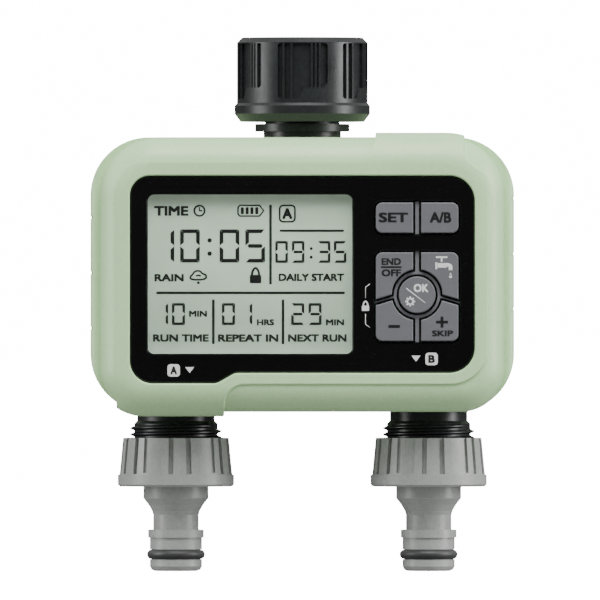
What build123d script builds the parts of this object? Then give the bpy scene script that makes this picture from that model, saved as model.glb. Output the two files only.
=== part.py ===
from build123d import *
import os

os.makedirs("parts", exist_ok=True)

# A battery tap timer with two valves and two hose outlets, in millimetres.
# +Z is up, the display faces -Y, and +X is to the right of someone who reads it.
# The origin is on the inlet axis at the mouth of the swivel nut, and the timer hangs below it.

# ---- Case ----------------------------------------------------------------------------------------
case_width = 122.4
case_height = 79.3
case_top = -29.0
case_corner = 16.8
front_low_corner = 12.5
shoulder = 2.9  # the rear shell stands out this far at each side
seam_y = -17.0
front_y = -30.4
plateau_rise = 0.6
plateau_edge = 0.45
back_y = 33.0
wall = 2.2
front_round = 8.0
back_round = 9.0
shoulder_round = 2.4
tab_rise = 1.3  # the two tabs wrap over the top and bottom edges this proud

case_bottom = case_top - case_height
middle_z = (case_top + case_bottom) / 2
front_width = case_width - 2 * shoulder
plateau_y = front_y - plateau_rise
inner_front_y = front_y + wall

# ---- Raised plateau, panel, window and keys ------------------------------------------------------
plateau_side_margin = 4.7
plateau_top = case_top - 7.3
plateau_bottom = case_bottom + 7.9
plateau_right = front_width / 2 - plateau_side_margin
panel_inset = 4.0
panel_recess = 1.8
panel_gap = 0.15
low_lip = 3.0  # the panel's left end hangs this far lower
window_width = 58.7
window_height = 45.7
window_corner = 1.7
window_set_back = 0.2
window_flange = 1.5
key_group_width = 24.4
upper_keys_height = 9.4
lower_keys_height = 26.2
key_row_gap = 4.95
key_corner = 2.2
key_channel = 1.7
ok_key_radius = 5.6
ok_ring = 1.4
key_proud = 0.6
key_clearance = 0.3
key_travel = 0.8
web_thickness = 1.2
web_margin = 2.0

panel_left = -plateau_right + panel_inset
panel_right = plateau_right - panel_inset
panel_top = plateau_top - panel_inset
panel_bottom = plateau_bottom + 3.5
panel_y = plateau_y + 0.3
panel_floor_y = plateau_y + panel_recess
window_left = panel_left + 5.2
window_top = panel_top - 5.4
window_x = window_left + window_width / 2
window_z = window_top - window_height / 2
keys_right = panel_right - 4.3
keys_x = keys_right - key_group_width / 2
upper_keys_top = panel_top - 7.3
lower_keys_top = upper_keys_top - upper_keys_height - key_row_gap
ok_key_z = lower_keys_top - 12.55
web_back_y = inner_front_y + web_thickness
key_top_y = panel_y - key_proud

# ---- Electronics ---------------------------------------------------------------------------------
glass_thickness = 2.6
glass_margin = 3.0
glass_y = inner_front_y + 1.1
board_front_y = -21.6
board_thickness = 1.6
board_half_width = front_width / 2 - 12.1
board_top = case_top - 8.0
board_bottom = case_bottom + 6.8
board_y = board_front_y + board_thickness
ledge_y = -19.4
seal_thickness = 0.8
inner_cover_y = ledge_y + seal_thickness
inner_cover_thickness = 1.4
ledge_width = 2.0

# ---- Inlet ---------------------------------------------------------------------------------------
thread_minor = 12.06  # G 3/4
thread_major = 13.22
thread_pitch = 1.814
nut_height = 24.4
nut_radius = 18.95
nut_flange_radius = 19.62
nut_recess = 0.9
nut_thread_depth = 12.8
nut_lead_in = 0.9
nut_thread_start = 40.0  # degrees from +X
nut_groove_share = 0.4  # of the pitch, at the wall
nut_floor = 4.2
neck_radius = 11.2
neck_clearance = 0.3
neck_groove = 10.1
neck_seal = 1.2
swivel_radius = 10.75
spigot_top = -16.5
spigot_bore = 8.0
collar_radius = 13.65
collar_top = -25.0
collar_thickness = 2.2
filter_rim = 0.8
washer_thickness = 2.4

# ---- Valves and outlets --------------------------------------------------------------------------
outlet_spacing = 73.2
valve_height = 26.8  # from the case's lower face up to the underside of the diaphragms
diaphragm_thickness = 1.2
diaphragm_radius = 15.2
chamber_radius = 12.5
valve_flange = 33.0
seat_radius = 8.0
seat_bore = 6.2
seat_drop = 2.1
valve_lift = 1.5
gallery_bore = 4.2
plunger_radius = 3.9
guide_wall = 1.2
coil_radius = 9.0
coil_height = 22.0
outlet_length = 17.7
outlet_shoulder = 2.7
screw_radius = 1.5
screw_boss = 3.8

outlet_x = outlet_spacing / 2
lug_x = neck_radius + 3.3
valve_plane = case_bottom + valve_height
spigot_end = case_bottom - outlet_length
thread_start = case_bottom - outlet_shoulder
plunger_top = valve_plane + 22.0
guide_top = plunger_top + valve_lift + 11.0
flange_top = valve_plane + diaphragm_thickness
bonnet_top = flange_top + 3.8

# ---- Outlet adaptors -----------------------------------------------------------------------------
adaptor_drop = 7.6  # from the case's lower face
adaptor_skirt = 10.7
adaptor_flange = 3.4
adaptor_top_radius = 15.4
adaptor_low_radius = 16.4
adaptor_flange_radius = 16.85
adaptor_bore = thread_major + 0.3
adaptor_washer = 2.0
nipple_bore = 4.4
nipple_body = 7.57
nipple_length = 24.5
ring_drop = 18.2
ring_section = 2.8
ring_radius = 8.4

adaptor_top = case_bottom - adaptor_drop
adaptor_skirt_bottom = adaptor_top - adaptor_skirt
adaptor_bottom = adaptor_skirt_bottom - adaptor_flange
nipple_end = adaptor_bottom - nipple_length
ring_top = adaptor_bottom - ring_drop
ring_bottom = ring_top - ring_section - 0.1
ring_groove = ring_radius - ring_section

# ---- Battery bay ---------------------------------------------------------------------------------
cell_radius = 7.1
cell_length = 49.2
cell_pitch = 15.0
cell_y = 23.6
bay_half_width = 29.5
bay_height = 30.4
bay_top = case_top - 13.3
bay_wall = 1.6
bay_floor_y = 16.1
door_half_width = 34.5
door_top = case_top - 6.5
door_height = 43.2
door_thickness = 1.7
door_gap = 0.3
frame_y = 27.5
hinge_pin_radius = 0.5
door_screw_drop = 2.6
lead_exit_y = cell_y + 2.0

bay_bottom = bay_top - bay_height
door_bottom = door_top - door_height
door_inner_y = back_y - 0.1 - door_thickness
hinge_y = door_inner_y + door_thickness / 2
hinge_z = door_bottom + door_thickness / 2
door_screw_z = door_top - door_screw_drop

pieces = {}


def front_slab(sketch, y_front, y_back):
    """A flat shape drawn in front view, X across and Z up, made solid between two depths."""
    return extrude(Plane.XZ.offset(-y_back) * sketch, y_back - y_front)


def upright(radius, bottom, top, x=0.0, y=0.0):
    return Pos(x, y, bottom) * Cylinder(radius, top - bottom, align=(Align.CENTER, Align.CENTER, Align.MIN))


def ring(outer, inner, bottom, top, x=0.0, y=0.0):
    return upright(outer, bottom, top, x, y) - upright(inner, bottom - 1, top + 1, x, y)


def rod(radius, y_front, y_back, x, z):
    """A round bar along Y."""
    return front_slab(Pos(x, z) * Circle(radius), y_front, y_back)


def block(x0, x1, y0, y1, z0, z1):
    return Pos(x0, y0, z0) * Box(x1 - x0, y1 - y0, z1 - z0, align=(Align.MIN, Align.MIN, Align.MIN))


def rounded(x, z, width, height, radius):
    return Pos(x, z) * RectangleRounded(width, height, radius)


def outline(corners):
    """A closed outline from (x, z, corner radius) points."""
    points = [(x, z) for x, z, _ in corners]
    return make_face(FilletPolyline(*points, radius=[r for _, _, r in corners], close=True))


def edges_at(solid, axis, height):
    return solid.edges().filter_by_position(axis, height - 0.01, height + 0.01)


def turned(points, x=0.0, y=0.0):
    """A solid turned about an upright axis from (radius, z) points."""
    return Pos(x, y, 0) * revolve(Plane.XZ * make_face(Polyline(*points, close=True)), Axis.Z)


def thread_ridge(root, crest, bottom, top, foot=0.42, tip=0.09):
    """A right-hand helical ridge from root to crest; foot and tip are half widths in pitches."""
    buried, foot, tip = root - 0.25, foot * thread_pitch, tip * thread_pitch
    section = Polyline((buried, -foot), (crest, -tip), (crest, tip), (buried, foot), close=True)
    helix = Helix(pitch=thread_pitch, height=top - bottom, radius=root, center=(0, 0, bottom))
    profile = Pos(0, 0, bottom) * (Plane.XZ * make_face(section))
    return sweep(profile, path=helix, is_frenet=True)


# ---- Shared outlines -----------------------------------------------------------------------------


def front_outline(inset=0.0):
    half = front_width / 2 - inset
    high, low = case_top - inset, case_bottom + inset
    upper, lower = case_corner - inset, front_low_corner - inset
    return outline([(-half, high, upper), (half, high, upper), (half, low, lower), (-half, low, lower)])


def rear_outline(inset=0.0):
    size = case_width - 2 * inset, case_height - 2 * inset
    return rounded(0, middle_z, *size, case_corner - inset)


def plateau_outline():
    """The raised front with its tab over the top edge at the right and the bottom edge at the left."""
    left, right = -plateau_right, plateau_right
    over, under = case_top + 4, case_bottom - 4
    return outline(
        [
            (left, plateau_top, 8.0),
            (right - 34.0, plateau_top, 4.6),
            (right - 31.8, over, 0),
            (right - 6.6, over, 0),
            (right - 7.0, plateau_top + 1.2, 4.0),
            (right, plateau_top - 4.0, 4.0),
            (right, plateau_bottom, 11.0),
            (left + 31.7, plateau_bottom, 5.6),
            (left + 30.8, under, 0),
            (left, under, 0),
        ]
    )


def panel_outline(grow=0.0):
    left, right, top = panel_left - grow, panel_right + grow, panel_top + grow
    low, lower = panel_bottom - grow, panel_bottom - low_lip - grow
    return outline(
        [
            (left, top, 5.7 + grow),
            (right, top, 7.2 + grow),
            (right, low, 7.2 + grow),
            (panel_left + 30.2, low, 3.6),
            (panel_left + 25.0, lower, 3.6),
            (left, lower, 6.4 + grow),
        ]
    )


def window_outline(grow=0.0):
    size = window_width + 2 * grow, window_height + 2 * grow
    return rounded(window_x, window_z, *size, window_corner + max(grow, 0))


def key_groups(grow=0.0):
    """The two rounded fields that hold the keys."""
    width = key_group_width + 2 * grow
    groups = []
    for top, height in ((upper_keys_top, upper_keys_height), (lower_keys_top, lower_keys_height)):
        groups.append(rounded(keys_x, top - height / 2, width, height + 2 * grow, key_corner + grow))
    return groups


def key_faces():
    """The seven key shapes in front view: the two fields, cut by the channels between the keys."""
    channel = Pos(keys_x, middle_z) * Rectangle(key_channel, case_height)
    upper, lower = key_groups()
    ok_place = Pos(keys_x, ok_key_z)
    cuts = channel + ok_place * Circle(ok_key_radius + ok_ring)
    for side in (-1, 1):
        groove = Rotation(0, 0, -side * 16.5) * Rectangle(9.2, 1.0)
        cuts += Pos(keys_x + side * 9.45, ok_key_z - 1.45) * groove
    top_pair = (upper - channel).faces().sort_by(Axis.X)
    quarters = (lower - cuts).faces().sort_by(Axis.Y)
    low_pair, mid_pair = quarters[:2].sort_by(Axis.X), quarters[2:].sort_by(Axis.X)
    return {
        "key_zone_a": top_pair[0],
        "key_zone_b": top_pair[1],
        "key_off": mid_pair[0],
        "key_manual_water": mid_pair[1],
        "key_minus": low_pair[0],
        "key_plus": low_pair[1],
        "key_ok": (ok_place * Circle(ok_key_radius)).face(),
    }


# ---- Places of the fasteners ---------------------------------------------------------------------


def case_screw_places():
    half = front_width / 2
    right = [(half - 7.8, case_top - 10.7), (half - 5.8, middle_z), (half - 6.2, case_bottom + 9.7)]
    return [(side * x, z) for side in (-1, 1) for x, z in right]


def board_screw_places():
    x = board_half_width - 6.2
    high, low = board_top - 2.0, board_bottom + 3.2
    return [(side * x, z) for side in (-1, 1) for z in (high, low)]


def lug_places():
    return [(side * lug_x, z) for side in (-1, 1) for z in (case_top - 7.2, case_bottom + 11.3)]


def bonnet_screw_places(x):
    reach = valve_flange / 2 - 3.1
    return [(x + i * reach, j * reach) for i in (-1, 1) for j in (-1, 1)]


def pan_screw(length, head_radius=2.7, head_height=1.8):
    """A screw that points down, with its head's underside at the origin, and a cross recess."""
    screw = upright(head_radius, 0, head_height) + upright(screw_radius, -length, 0)
    screw = fillet(edges_at(screw, Axis.Z, head_height), 0.5)
    screw = chamfer(edges_at(screw, Axis.Z, -length), 0.5)
    for turn in (0, 90):
        screw -= Rotation(0, 0, turn) * Pos(0, 0, head_height) * Box(2.8, 0.6, 1.6)
    return screw


# ---- Case ----------------------------------------------------------------------------------------


def front_blank(grow, face_y, round_radius):
    half, high, low = front_width / 2 + grow, case_top + grow, case_bottom - grow
    upper, lower = case_corner + grow, front_low_corner + grow
    corners = [(-half, high, upper), (half, high, upper), (half, low, lower), (-half, low, lower)]
    blank = front_slab(outline(corners), face_y, seam_y)
    return fillet(edges_at(blank, Axis.Y, face_y), round_radius)


def tongue(top, x):
    """Fills the front part of the slot that lets a neck into the rear shell."""
    half = neck_radius + neck_clearance - 0.2
    strip = block(x - half, x + half, seam_y, -2.0, top - wall, top)
    return strip - upright(neck_radius + neck_clearance, top - 10, top + 10, x)


def make_front_cover():
    cover = front_blank(0, front_y, front_round)
    raised = front_blank(tab_rise, plateau_y, front_round + tab_rise)
    cover += raised & front_slab(plateau_outline(), plateau_y - 1, seam_y)
    room = front_slab(front_outline(wall + ledge_width), inner_front_y, ledge_y)
    cover -= fillet(edges_at(room, Axis.Y, inner_front_y), front_round - wall - ledge_width - 0.3)
    cover -= front_slab(front_outline(wall), ledge_y, seam_y)
    cover -= front_slab(panel_outline(panel_gap), plateau_y - 1, panel_floor_y)
    cover -= front_slab(window_outline(0.1), plateau_y, inner_front_y)
    for group in key_groups(panel_gap):
        cover -= front_slab(group, plateau_y, inner_front_y)
    cover = fillet(edges_at(cover, Axis.Y, plateau_y), plateau_edge)
    for x, z in case_screw_places():
        cover += rod(3.6, ledge_y - 5.6, ledge_y, x, z)
        cover -= rod(screw_radius, ledge_y - 4.6, ledge_y, x, z)
    for x, z in board_screw_places():
        cover += rod(2.2, inner_front_y - 0.1, board_front_y, x, z)
        cover -= rod(1.0, board_front_y - 5.0, board_front_y, x, z)
    cover += tongue(case_top, 0)
    for side in (-1, 1):
        cover += tongue(case_bottom + wall, side * outlet_x)
    return cover


def make_rear_shell():
    shell = front_slab(rear_outline(), seam_y, back_y)
    shell = fillet(edges_at(shell, Axis.Y, back_y), back_round)
    room = front_slab(rear_outline(wall), seam_y + 2.5, back_y - wall)
    room = fillet(edges_at(room, Axis.Y, back_y - wall), back_round - wall)
    shell -= room
    shell -= front_slab(front_outline(wall), seam_y - 1, seam_y + 2.5)
    for side in (-1, 1):
        corner = block(0, shoulder_round, 0, shoulder_round, case_bottom - 1, case_top + 1)
        corner -= upright(shoulder_round, case_bottom - 2, case_top + 2, 0, shoulder_round)
        edge = Pos(case_width / 2 - shoulder_round, seam_y, 0) * corner
        shell -= edge if side > 0 else mirror(edge, Plane.YZ)
        first = middle_z + 22.1 if side > 0 else middle_z + 16.5
        for step in range(3):
            z = first - 16.0 * step
            x = side * case_width / 2
            shell -= block(x - 0.7, x + 0.7, seam_y - 1, seam_y + 26, z - 0.35, z + 0.35)
    # battery bay, its frame in the back wall and the recess for the door
    outer, low, high = bay_half_width + bay_wall, bay_bottom - bay_wall, bay_top + bay_wall
    shell += block(-outer, outer, bay_floor_y - bay_wall, back_y - wall, low, high)
    rim = door_half_width + 3.0
    shell += block(-rim, rim, frame_y, back_y - wall, door_bottom - 1.5, door_top + 1.5)
    for x, z in case_screw_places():
        shell += rod(screw_boss, seam_y, back_y - wall, x, z)
        shell -= rod(screw_radius + 0.2, seam_y - 1, seam_y + 7, x, z)
        shell -= rod(3.0, seam_y + 7, back_y + 1, x, z)
    for x, z in lug_places():
        shell += rod(3.5, 8.2, back_y - wall, x, z)
        shell -= rod(screw_radius, 8.0, 18.0, x, z)
    shell -= block(-bay_half_width, bay_half_width, bay_floor_y, back_y + 1, bay_bottom, bay_top)
    width = door_half_width + door_gap
    low, high = door_bottom - door_gap, door_top + door_gap
    shell -= block(-width, width, door_inner_y - 0.2, back_y + 1, low, high)
    shell -= door_ring(0.1, door_inner_y - 0.2 - 1.5)
    shell -= rod(2.3, frame_y - 0.5, back_y, 0, door_screw_z)
    for side in (-1, 1):
        place = Pos(side * (width + 0.8), hinge_y, hinge_z) * Rotation(0, 90, 0)
        shell -= place * Cylinder(hinge_pin_radius + 0.08, 3.4)
    for z in cell_heights():
        shell -= Pos(bay_half_width + 1, lead_exit_y, z) * Rotation(0, 90, 0) * Cylinder(1.0, 4)
    slot, under = neck_radius + neck_clearance, case_bottom + wall + 1
    for x, top in ((0, case_top + 2), (-outlet_x, under), (outlet_x, under)):
        low = top - wall - 3
        shell -= block(x - slot, x + slot, seam_y - 1, 0, low, top) + upright(slot, low, top, x)
    for side in (-1, 1):
        shell -= upright(slot, under - 1, valve_plane - 12, side * outlet_x)
    return shell


def door_ring(grow, y_front):
    """The rectangular seal between the battery door and its frame."""
    height = bay_height + 4.2
    centre = (bay_top + bay_bottom) / 2
    outer = rounded(0, centre, 2 * bay_half_width + 4.2 + 2 * grow, height + 2 * grow, 2.0 + grow)
    inner = rounded(0, centre, 2 * bay_half_width + 1.4 - 2 * grow, height - 2.8 - 2 * grow, 0.8)
    return front_slab(outer - inner, y_front, door_inner_y)


def make_case_seal():
    seal = front_outline(wall + 0.3) - front_outline(wall + ledge_width - 0.2)
    return front_slab(seal, ledge_y, inner_cover_y)


def make_inner_cover():
    plate = front_slab(front_outline(wall + 0.2), inner_cover_y, inner_cover_y + inner_cover_thickness)
    back = inner_cover_y + inner_cover_thickness
    for x, z in case_screw_places():
        plate -= rod(screw_radius + 0.2, inner_cover_y - 1, back + 1, x, z)
    for side in (-1, 1):
        plate -= rod(4.6, inner_cover_y - 1, back + 1, side * outlet_x, coil_lead_z())
    for x in battery_lead_lanes():
        plate -= rod(1.1, inner_cover_y - 1, back + 1, x, battery_lead_z())
    return plate


def make_case_screws():
    screw = Rotation(-90, 0, 0) * pan_screw(10.5)
    return [Pos(x, seam_y + 7, z) * screw for x, z in case_screw_places()]


# ---- Panel, window and keys ----------------------------------------------------------------------


def make_display_panel():
    panel = front_slab(panel_outline(), panel_y, panel_floor_y)
    panel -= front_slab(window_outline(0.1), panel_y - 1, panel_floor_y + 1)
    for group in key_groups(panel_gap):
        panel -= front_slab(group, panel_y - 1, panel_floor_y + 1)
    return chamfer(edges_at(panel, Axis.Y, panel_y), 0.3)


def make_lcd_window():
    face = panel_y + window_set_back
    lens = front_slab(window_outline(), face, inner_front_y)
    lens = chamfer(edges_at(lens, Axis.Y, face), 0.45)
    return lens + front_slab(window_outline(window_flange), inner_front_y, inner_front_y + 1.0)


def make_lcd_glass():
    face = window_outline(glass_margin)
    return front_slab(face, glass_y, glass_y + glass_thickness)


def make_lcd_frame():
    outer, inner = window_outline(glass_margin + 1.2), window_outline(glass_margin + 0.15)
    frame = front_slab(outer - inner, glass_y, board_front_y)
    lip = window_outline(glass_margin + 1.2) - window_outline(glass_margin - 1.5)
    strips = Pos(window_x, window_z) * Rectangle(window_width - 6, window_height + 30)
    return frame + front_slab(lip - strips, glass_y + glass_thickness, board_front_y)


def make_lcd_contact_strips():
    reach = window_height / 2 + glass_margin - 1.6
    strips = []
    for side in (-1, 1):
        bar = Pos(window_x, window_z + side * reach) * Rectangle(window_width - 8, 2.0)
        strips.append(front_slab(bar, glass_y + glass_thickness, board_front_y))
    return strips


def make_keypad_web():
    holes = [offset(face, key_clearance) for face in key_faces().values()]
    web = None
    for platform, plate in zip(key_groups(0.0), key_groups(web_margin)):
        field = front_slab(platform, panel_floor_y - 0.4, inner_front_y)
        field += front_slab(plate, inner_front_y, web_back_y)
        web = field if web is None else web + field
    for hole in holes:
        web -= front_slab(hole, plateau_y, web_back_y + 1)
    return web


def make_key(face):
    """A cap that stands a little proud of the panel, and a smaller foot that reaches towards the board."""
    inset = key_clearance
    cap = front_slab(offset(face, -inset), key_top_y, web_back_y)
    cap = fillet(edges_at(cap, Axis.Y, key_top_y), 0.35)
    foot = front_slab(offset(face, -inset - 1.2), web_back_y, board_front_y - key_travel - 0.3)
    return cap + foot


# ---- Electronics ---------------------------------------------------------------------------------


def make_circuit_board():
    height = board_top - board_bottom
    board = rounded(0, (board_top + board_bottom) / 2, 2 * board_half_width, height, 3.0)
    for x, z in board_screw_places():
        board -= Pos(x, z) * Circle(1.3)
    return front_slab(board, board_front_y, board_y)


def make_board_components():
    back, deep = board_y, board_y + 1.1
    parts = [block(x - 5, x + 5, back, deep, z - 5, z + 5) for x, z in ((-8, -62), (12, -70))]
    parts += [block(x - 2.5, x + 2.5, back, deep, z - 3.5, z + 3.5) for x in (-26, 26) for z in (-60, -72)]
    front = board_front_y
    low = board_bottom + 3.4
    for x in (-14, -4, 6):
        parts.append(Pos(x, front - 1.7, low) * Rotation(0, 90, 0) * Cylinder(1.7, 7.5))
    parts.append(block(18, 29, front - 3.0, front, low - 1.9, low + 1.9))
    return parts


def make_board_screws():
    screw = Rotation(-90, 0, 0) * (upright(2.1, 0, 1.2) + upright(1.0, -5.5, 0))
    screw -= Pos(0, 1.2, 0) * Box(0.5, 0.8, 3.0)
    return [Pos(x, board_y, z) * screw for x, z in board_screw_places()]


# ---- Water way -----------------------------------------------------------------------------------


def valve_cup_blank(x):
    """The outside of one valve's cup, with its neck and its threaded outlet below."""
    cup = upright(15.8, valve_plane - 12, valve_plane - 2, x)
    half = valve_flange / 2
    cup += block(x - half, x + half, -half, half, valve_plane - 4, flange_top)
    cup += upright(neck_radius, thread_start, valve_plane - 11, x)
    core = upright(thread_minor, spigot_end, thread_start)
    core = chamfer(edges_at(core, Axis.Z, thread_start), 0.8)
    core += thread_ridge(thread_minor, thread_major, spigot_end + 1.1, thread_start - 1.4)
    return cup + Pos(x, 0, 0) * core


def valve_cup_room(x):
    """What is hollow in one valve: chamber around the seat, diaphragm recess and outlet bore."""
    room = ring(chamber_radius, seat_radius, valve_plane - 10, valve_plane + 2, x)
    room += upright(chamber_radius, valve_plane - seat_drop, valve_plane + 2, x)
    room += upright(diaphragm_radius + 0.15, valve_plane, valve_plane + 2, x)
    room += upright(seat_bore, spigot_end - 1, valve_plane + 2, x)
    room += upright(spigot_bore, spigot_end - 1, valve_plane - 14, x)
    for px, py in bonnet_screw_places(x):
        room += upright(screw_radius, valve_plane - 3.5, flange_top + 1, px, py)
    return room


def neck_seal_places():
    """Where each neck passes through the case wall: its axis and the underside of its seal."""
    half = (wall - neck_seal) / 2
    return [(0, case_top - wall + half), (-outlet_x, case_bottom + half), (outlet_x, case_bottom + half)]


def make_valve_manifold():
    body = upright(swivel_radius, collar_top - 1, spigot_top)
    body += upright(collar_radius, collar_top - collar_thickness, collar_top)
    tube_bottom = valve_plane - 17
    body += upright(neck_radius, tube_bottom, collar_top - 1)
    gallery_z = valve_plane - 5.6
    body += Pos(0, 0, gallery_z) * Rotation(0, 90, 0) * Cylinder(gallery_bore + 2.2, 2 * outlet_x)
    for z in (case_top - 7.2, case_bottom + 11.3):
        body += block(-lug_x - 4, lug_x + 4, 5.0, 8.2, z - 4, z + 4)
    for side in (-1, 1):
        body += valve_cup_blank(side * outlet_x)
    body -= upright(spigot_bore, valve_plane - 10, spigot_top + 1)
    body -= Pos(0, 0, gallery_z) * Rotation(0, 90, 0) * Cylinder(gallery_bore, 2 * (outlet_x - 10))
    for side in (-1, 1):
        body -= valve_cup_room(side * outlet_x)
    for x, z in lug_places():
        body -= rod(screw_radius + 0.2, 4, 9, x, z)
    for x, low in neck_seal_places():
        body -= ring(neck_radius + 1, neck_groove, low, low + neck_seal, x)
    groove_top = ring_seat_top()
    return body - ring(swivel_radius + 1, 10.0, groove_top - 1.3, groove_top)


def ring_seat_top():
    return -nut_height + nut_floor + 2.0


def make_retaining_ring():
    top = ring_seat_top() - 0.05
    split = ring(12.6, 10.0, top - 1.2, top)
    return split - block(-0.8, 0.8, 8, 14, top - 2, top + 1)


def make_neck_seals():
    return [ring(neck_radius + 0.2, neck_groove, low, low + neck_seal, x) for x, low in neck_seal_places()]


def make_manifold_screws():
    screw = Rotation(90, 0, 0) * pan_screw(12.0)
    return [Pos(x, 5.0, z) * screw for x, z in lug_places()]


def make_inlet_filter():
    top = spigot_top + filter_rim
    body = upright(11.8, spigot_top, top) + upright(spigot_bore - 0.5, spigot_top - 11, top)
    body -= upright(spigot_bore - 1.3, spigot_top - 10, top + 1)
    for turn in range(8):
        slot = block(4, 9, -1.5, 1.5, spigot_top - 9, spigot_top - 1.5)
        body -= Rotation(0, 0, 45 * turn) * slot
    return body


def make_inlet_washer():
    low = spigot_top + filter_rim
    return ring(12.4, 7.6, low, low + washer_thickness)


def nut_pocket():
    """One hand grip of the nut, drawn flat in front of it, with its ribs left standing."""
    corners = [
        (-7.04, -1.8, 0.8),
        (7.34, -1.8, 0.8),
        (7.34, -13.3, 0),
        (6.2, -14.6, 0),
        (0.6, -14.6, 0.6),
        (-1.0, -17.8, 0.6),
        (-7.04, -17.8, 0.8),
    ]
    pocket = front_slab(outline(corners), -nut_radius - 2, -10)
    for u, low in ((-5.4, -18.5), (-3.1, -18.5), (2.75, -15.5), (3.9, -15.5), (5.05, -15.5)):
        pocket -= block(u - 0.32, u + 0.32, -nut_radius - 3, -9, low, 0)
    return pocket - upright(nut_radius - nut_recess, -nut_height - 1, 1)


def make_inlet_nut():
    r, flange = nut_radius, nut_flange_radius
    low = -nut_height
    profile = [(0, 0), (r - 1.5, 0), (r, -1.5), (r, low + 5.4), (flange, low + 4.6), (flange, low + 2.3)]
    nut = turned(profile + [(flange - 1.7, low), (0, low)])
    pocket = nut_pocket()
    nut -= [Rotation(0, 0, 60 * turn) * pocket for turn in range(6)]
    nut -= upright(thread_minor, -nut_thread_depth, 1)
    nut -= upright(thread_major + 0.2, low + nut_floor, -nut_thread_depth)
    nut -= upright(swivel_radius + neck_clearance, low - 1, 0)
    mouth, foot = thread_major + 0.9, -nut_lead_in - 0.5
    slope = (mouth - thread_minor) / (nut_lead_in + 0.5)
    nut -= turned([(0, 1), (mouth, 0.5), (thread_minor - 0.5 * slope, foot), (0, foot)])
    low, high = -nut_thread_depth - 0.6, -0.6
    groove = thread_ridge(thread_minor, thread_major + 0.08, low, high, nut_groove_share / 2)
    return nut - Rotation(0, 0, nut_thread_start) * groove


# ---- Valve tops ----------------------------------------------------------------------------------


def make_bonnet(x):
    half = valve_flange / 2
    guide_radius = plunger_radius + 0.4 + guide_wall
    bonnet = block(x - half, x + half, -half, half, flange_top, bonnet_top)
    bonnet += upright(13.0, bonnet_top, bonnet_top + 2.5, x)
    bonnet += upright(guide_radius, bonnet_top, guide_top, x)
    bonnet -= upright(11.2, flange_top - 1, bonnet_top + 0.5, x)
    bonnet -= upright(plunger_radius + 0.4, flange_top, guide_top - 1.8, x)
    for px, py in bonnet_screw_places(x):
        bonnet -= upright(screw_radius + 0.2, flange_top - 1, bonnet_top + 1, px, py)
    return bonnet


def make_bonnet_screws():
    screw = pan_screw(7.0, 2.6, 1.6)
    places = [place for side in (-1, 1) for place in bonnet_screw_places(side * outlet_x)]
    return [Pos(px, py, bonnet_top) * screw for px, py in places]


def coil_bottom():
    return bonnet_top + 2.5 + 1.6


def coil_lead_z():
    return coil_bottom() + coil_height - 3.0


def make_coil(x):
    low, high = coil_bottom(), coil_bottom() + coil_height
    inner = plunger_radius + 0.4 + guide_wall + 0.2
    coil = ring(coil_radius - 0.6, inner, low, high, x)
    coil += ring(coil_radius, inner, low, low + 1.2, x) + ring(coil_radius, inner, high - 1.2, high, x)
    return coil + block(x - 4.5, x + 4.5, -11.0, -inner - 1.2, coil_lead_z() - 2, high)


def make_coil_yoke(x):
    """A steel strip bent to a C that closes the magnetic path round the coil."""
    low, high = coil_bottom(), coil_bottom() + coil_height
    hole = plunger_radius + 0.4 + guide_wall + 0.1
    yoke = block(x - 7, x + 7, -8, 12.2, low - 1.5, low) + block(x - 7, x + 7, -8, 12.2, high, high + 1.5)
    yoke += block(x - 7, x + 7, 10.7, 12.2, low, high)
    return yoke - upright(hole, low - 3, high + 3, x)


def make_plunger(x):
    plunger = upright(plunger_radius, disc_top(), plunger_top, x)
    return chamfer(edges_at(plunger, Axis.Z, plunger_top), 0.5)


def disc_top():
    return flange_top + 1.8


def make_valve_disc(x):
    """The stiff centre of the diaphragm: a seat washer below, a plate above and a hub between."""
    disc = upright(7.2, valve_plane - seat_drop + 0.05, valve_plane, x)
    disc += upright(2.4, valve_plane, flange_top, x)
    return disc + upright(6.0, flange_top, disc_top(), x)


def make_diaphragm(x):
    return ring(diaphragm_radius, 2.4, valve_plane, flange_top, x)


def make_valve_spring(x):
    room = guide_top - 1.8 - plunger_top
    wire = 0.35
    helix = Helix(pitch=(room - 2 * wire - 0.1) / 4, height=room - 2 * wire - 0.1, radius=2.8)
    coil = sweep(Plane(origin=helix @ 0, z_dir=helix % 0) * Circle(wire), path=helix, is_frenet=True)
    return Pos(x, 0, plunger_top + wire + 0.05) * coil


# ---- Battery bay ---------------------------------------------------------------------------------


def cell_heights():
    centre = (bay_top + bay_bottom) / 2
    return centre + cell_pitch / 2, centre - cell_pitch / 2


def make_battery_cells():
    """Two AA cells that lie side by side and point opposite ways."""
    can = Rotation(0, 90, 0) * Cylinder(cell_radius, cell_length)
    can = fillet(can.edges().filter_by(GeomType.CIRCLE), 0.6)
    can += Pos(cell_length / 2 + 0.65, 0, 0) * Rotation(0, 90, 0) * Cylinder(2.7, 1.3)
    shift = bay_half_width - 0.5 - 1.3 - cell_length / 2
    high, low = cell_heights()
    upper = Pos(shift, cell_y, high) * can
    lower = Pos(-shift, cell_y, low) * Rotation(0, 180, 0) * can
    return [upper, lower]


def make_battery_contacts():
    high, low = cell_heights()
    x, thick = bay_half_width, 0.5
    plates = [block(x - thick, x, cell_y - 6, cell_y + 6, z - 6, z + 6) for z in (high, low)]
    plates.append(block(-x, -x + thick, cell_y - 6, cell_y + 6, low - 6, high + 6))
    return plates


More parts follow.
